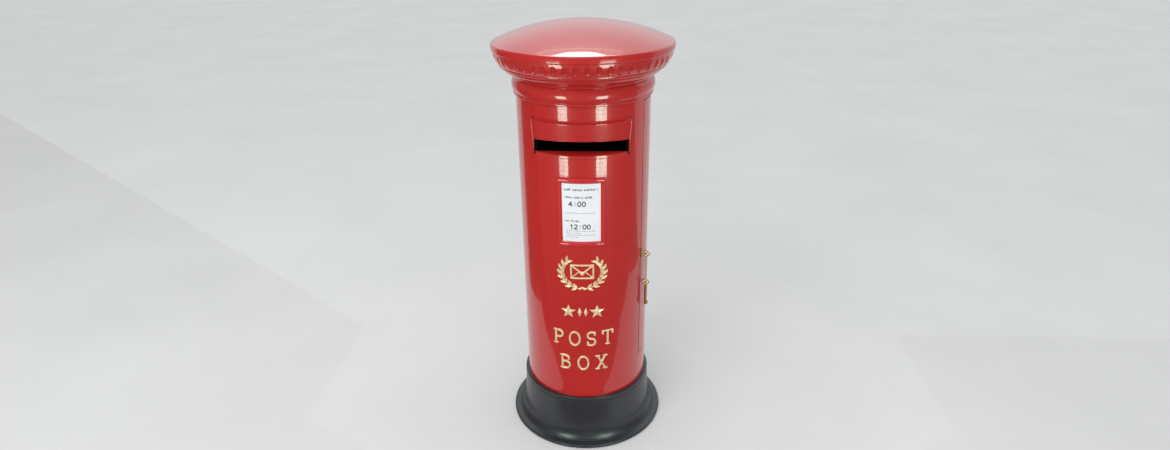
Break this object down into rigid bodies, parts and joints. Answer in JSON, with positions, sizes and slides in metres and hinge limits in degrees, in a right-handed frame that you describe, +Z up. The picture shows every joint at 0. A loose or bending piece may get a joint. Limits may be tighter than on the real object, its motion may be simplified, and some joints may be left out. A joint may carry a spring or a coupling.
{
  "type": "pillar mailbox",
  "caption": "Round pillar mailbox with domed cap, hooded letter slot, notice frame, flanged plinth, and a locking curved door at the back.",
  "frame": {"origin": "centre of the plinth's underside, on the surface it stands on", "axes": "+Z up along the body's axis, slot facing -Y, door opening round the +X side to the back"},
  "size_m": [0.23, 0.23, 0.5755],
  "materials": {
    "red_enamel": "gloss pillar-box red enamel",
    "black_enamel": "satin black enamel",
    "steel": "zinc-plated steel",
    "gilt": "hand-painted pale gold",
    "card": "printed white card",
    "brass": "polished brass, lightly worn",
    "wire": "thin brass wire"
  },
  "bodies": {
    "body": {"plinth": "black_enamel", "floor_plate": "steel", "base_screws": "steel", "body_shell": "red_enamel", "neck_collar": "red_enamel", "cap": "red_enamel", "cap_screws": "steel", "aperture_frame": "red_enamel", "aperture_screws": "steel", "notice_frame": "red_enamel", "notice_card": "card", "notice_screws": "steel", "emblem": "gilt", "star_row": "gilt", "upper_lettering": "gilt", "lower_lettering": "gilt", "hinge_body_screws": "brass", "keeper": "steel", "keeper_screws": "steel", "hinge_body_leaf_lower": "brass", "hinge_body_leaf_upper": "brass", "hinge_pin_lower": "brass", "hinge_pin_upper": "brass"},
    "door": {"door_panel": "red_enamel", "hinge_door_leaf_lower": "brass", "hinge_door_leaf_upper": "brass", "hinge_door_screws": "brass", "lock_barrel": "brass", "lock_nut": "brass"},
    "plug": {"lock_plug": "brass", "lock_cam": "steel", "cam_screw": "steel"},
    "key": {"door_key": "brass"},
    "link": {"key_link": "wire"},
    "spare": {"spare_key": "brass"}
  },
  "joints": [
    {"name": "door_swing", "type": "hinge", "parent": "body", "child": "door", "pos_m": [0.01248, 0.08883, 0.3], "axis": [0, 0, 1], "range_deg": [0, 110]},
    {"name": "lock_turn", "type": "hinge", "parent": "door", "child": "plug", "pos_m": [0.07902, -0.03518, 0.2745], "axis": [-0.9135, 0.4067, 0], "range_deg": [0, 90]},
    {"name": "key_pull", "type": "slide", "parent": "plug", "child": "key", "axis": [0.9135, -0.4067, 0], "range_m": [0, 0.036]},
    {"name": "link_hang", "type": "hinge", "parent": "key", "child": "link", "pos_m": [0.0845, -0.03762, 0.2697], "axis": [-0.9135, 0.4067, 0], "range_deg": [-90, 0]},
    {"name": "spare_key_swing", "type": "hinge", "parent": "link", "child": "spare", "pos_m": [0.0845, -0.03762, 0.2364], "axis": [0.9135, -0.4067, 0], "range_deg": [-40, 40]}
  ],
  "couplings": [
    {"joint": "link_hang", "follows": "lock_turn", "ratio": -1}
  ]
}
